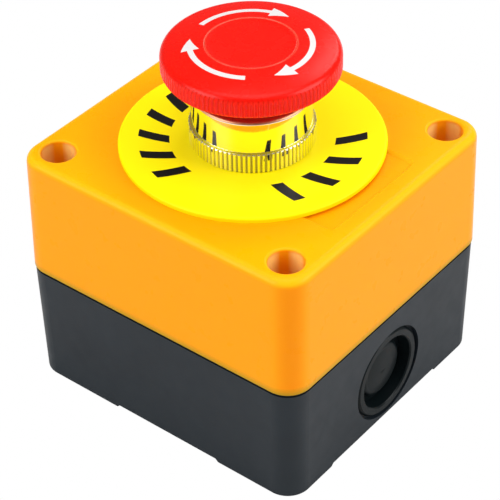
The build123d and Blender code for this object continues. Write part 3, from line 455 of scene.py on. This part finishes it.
def lay_print(name, outlines, surface, from_z, body, ink, rise, sink):
    """Thin closed patches of ink on the surface below from_z.

    Each outline is a grid: a list of rows of (x, y) points, all rows the same length.
    """
    form = bmesh.new()
    for rows in outlines:
        layers = []
        for lift in (rise, -sink):
            layer = []
            for row in rows:
                line = []
                for x, y in row:
                    hit = surface.ray_cast(Vector((x, y, from_z)), Vector((0, 0, -1)))[0]
                    line.append(form.verts.new((x, y, hit.z + lift)))
                layer.append(line)
            layers.append(layer)
        top, bottom = layers
        last_row, last_column = len(rows) - 1, len(rows[0]) - 1
        for i in range(last_row):
            for j in range(last_column):
                form.faces.new((top[i][j], top[i + 1][j], top[i + 1][j + 1], top[i][j + 1]))
                form.faces.new(
                    (bottom[i][j], bottom[i][j + 1], bottom[i + 1][j + 1], bottom[i + 1][j])
                )
        rim = [(0, j) for j in range(last_column)]
        rim += [(i, last_column) for i in range(last_row)]
        rim += [(last_row, j) for j in range(last_column, 0, -1)]
        rim += [(i, 0) for i in range(last_row, 0, -1)]
        for (i, j), (k, m) in zip(rim, rim[1:] + rim[:1]):
            form.faces.new((top[i][j], top[k][m], bottom[k][m], bottom[i][j]))
    bmesh.ops.recalc_face_normals(form, faces=form.faces)
    mesh = bpy.data.meshes.new(name)
    form.to_mesh(mesh)
    form.free()
    mesh.materials.append(ink)
    piece = bpy.data.objects.new(name, mesh)
    bpy.context.scene.collection.objects.link(piece)
    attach(piece, body)
    return piece


def polar(radius, angle):
    """(x, y) at a radius and an angle in degrees."""
    return (radius * cos(radians(angle)), radius * sin(radians(angle)))


def arrow_outline(tip_angle, radius, width, head_width, sweep, head_sweep):
    """Rows of points across a curved arrow that points clockwise."""
    steps = 28
    tip_half = 0.04 * MM
    rows = []
    tail = tip_angle + sweep
    neck = tip_angle + head_sweep
    for step in range(steps + 1):
        angle = tail + (neck - tail) * step / steps
        rows.append((angle, width / 2))
    for step in range(steps // 2 + 1):
        share = step / (steps // 2)
        half = head_width / 2 * (1 - share) + tip_half * share
        rows.append((neck + (tip_angle - neck) * share, half))
    return [[polar(radius + half * share, angle) for share in ACROSS] for angle, half in rows]


def bar_outline(angle, inner, outer, width, slant):
    """Rows of points over one slanted bar that stands across a ring."""
    steps = 8
    rows = []
    for step in range(steps + 1):
        share = step / steps
        radius = inner + (outer - inner) * share
        middle = angle + slant * (share - 0.5)
        half = width / 2 / radius * 180 / pi
        rows.append([polar(radius, middle + half * side) for side in ACROSS])
    return rows


def make_release_arrows():
    """Three white arrows on the crown, clockwise, the way the head is turned."""
    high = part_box("mushroom_cap")[1]
    surface = node_surface("mushroom_cap")
    inner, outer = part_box("cap_insert")[1].x, high.x
    radius_share = 0.34
    shaft, head_width = 1.25 * MM, 4.0 * MM
    sweep, head_sweep = 93, 19
    radius = inner + (outer - inner) * radius_share
    outlines = [
        arrow_outline(turn, radius, shaft, head_width, sweep, head_sweep)
        for turn in (0, -120, -240)
    ]
    lay_print(
        "release_arrows", outlines, surface, high.z + RAY_START, "head", INK_WHITE,
        rise=0.03 * MM, sink=INK_SINK,
    )


def make_legend_bars():
    """Black slanted bars round the plate: a long run at the back, a short one in front."""
    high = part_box("nameplate")[1]
    surface = node_surface("nameplate")
    outer_share, inner_share = 0.85, 0.617
    bar_width, lean = 2.7 * MM, 7
    runs = ((165, 15, 9), (-122, -56, 4))  # first and last angle in degrees, and the count
    outer = high.x * outer_share
    inner = high.x * inner_share
    bars = []
    for first, last, count in runs:
        for index in range(count):
            angle = first + (last - first) * index / (count - 1)
            slant = -lean if first > last else lean
            bars.append(bar_outline(angle, inner, outer, bar_width, slant))
    lay_print(
        "legend_bars", bars, surface, high.z + RAY_START, "enclosure", INK_BLACK,
        rise=0.015 * MM, sink=INK_SINK,
    )


def make_coils():
    """Springs, each a copy of its own node's shape, hung on the node's body in place of the
    node.
    """
    behaviour = frame["record"]["behaviour"]
    bodies = {node: body for body, nodes in behaviour["bodies"].items() for node in nodes}
    for joint in behaviour["joints"]:
        for entry in joint.get("deforming_nodes", []):
            node = entry["node"]
            name = node + "_coil"
            coil = bpy.data.objects.new(name, frame["nodes"][node].data.copy())
            coil.data.name = name
            bpy.context.scene.collection.objects.link(coil)
            coil.matrix_world = frame["nodes"][node].matrix_world.copy()
            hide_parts(node)
            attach(coil, bodies[node])
            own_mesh(coil)


make_release_arrows()
make_legend_bars()
make_coils()


# ------------------------------------------------------------------------ stage


def make_floor():
    """A wide pale floor, just under the box's feet."""
    half, gap = 3.0, 0.02 * MM
    mesh = bpy.data.meshes.new("floor")
    corners = [(-half, -half, 0), (half, -half, 0), (half, half, 0), (-half, half, 0)]
    mesh.from_pydata(corners, [], [(0, 1, 2, 3)])
    shader = Shader("floor_white")
    shader.set(Base_Color=(0.8, 0.8, 0.8, 1), Roughness=0.7, Specular_IOR_Level=0.2)
    glow = shader.node("ShaderNodeEmission", [("Color", (1, 1, 1, 1)), ("Strength", 1.0)])
    seen = shader.node("ShaderNodeLightPath").outputs["Is Camera Ray"]
    mixed = shader.node(
        "ShaderNodeMixShader",
        [(0, seen), (1, shader.surface.outputs["BSDF"]), (2, glow.outputs["Emission"])],
    )
    output = shader.tree.nodes["Material Output"]
    shader.tree.links.new(mixed.outputs["Shader"], output.inputs["Surface"])
    mesh.materials.append(shader.material)
    floor = bpy.data.objects.new("floor", mesh)
    floor.location.z = cad_low.z - gap
    bpy.context.scene.collection.objects.link(floor)


def make_camera():
    """Long lens, above and to the left of the front corner."""
    azimuth, elevation, roll = radians(-51.103), radians(38.822), radians(-1.065)
    distance = 0.458796
    target = Vector((0, 0, 0.030667))
    back = Vector(
        (sin(azimuth) * cos(elevation), -cos(azimuth) * cos(elevation), sin(elevation))
    )
    data = bpy.data.cameras.new("camera")
    data.sensor_width = 36
    data.lens = 142.105
    data.shift_x = -0.0096
    data.clip_start, data.clip_end = 0.01, 20
    camera = bpy.data.objects.new("camera", data)
    right = Vector((cos(azimuth), sin(azimuth), 0))
    up = back.cross(right)
    right, up = right * cos(roll) + up * sin(roll), up * cos(roll) - right * sin(roll)
    turn = Matrix((right, up, back)).transposed().to_4x4()
    camera.matrix_world = Matrix.Translation(target + back * distance) @ turn
    bpy.context.scene.collection.objects.link(camera)
    bpy.context.scene.camera = camera


def make_light(name, place, size, power, colour=(1, 1, 1)):
    """A square softbox that faces the middle of the object."""
    data = bpy.data.lights.new(name, "AREA")
    data.shape = "RECTANGLE"
    data.size, data.size_y = size
    data.energy = power
    data.color = colour
    light = bpy.data.objects.new(name, data)
    light.location = place
    aim = (cad_low + cad_high) / 2 - light.location
    light.rotation_mode = "QUATERNION"
    light.rotation_quaternion = aim.to_track_quat("-Z", "Y")
    bpy.context.scene.collection.objects.link(light)


def make_world(brightness):
    """An even surround: white to look at, and brightness as a light."""
    world = bpy.data.worlds.new("studio")
    world.use_nodes = True
    nodes, links = world.node_tree.nodes, world.node_tree.links
    background = nodes["Background"]
    background.inputs["Color"].default_value = (1, 1, 1, 1)
    seen = nodes.new("ShaderNodeLightPath").outputs["Is Camera Ray"]
    strength = nodes.new("ShaderNodeMapRange")
    strength.inputs["To Min"].default_value = brightness
    strength.inputs["To Max"].default_value = 1.0
    links.new(seen, strength.inputs["Value"])
    links.new(strength.outputs["Result"], background.inputs["Strength"])
    bpy.context.scene.world = world


make_floor()
make_camera()
make_world(0.24)
make_light("top_softbox", (0.0, 0.0, 0.85), (0.7, 0.7), 3.6)
make_light("back_softbox", (0.75, 0.12, 0.6), (0.35, 0.5), 2.0)
make_light("left_softbox", (-0.65, 0.3, 0.45), (0.5, 0.5), 4.35)
make_light("right_softbox", (0.3, -0.65, 0.45), (0.5, 0.5), 4.6)
bpy.context.scene.view_settings.view_transform = "Standard"
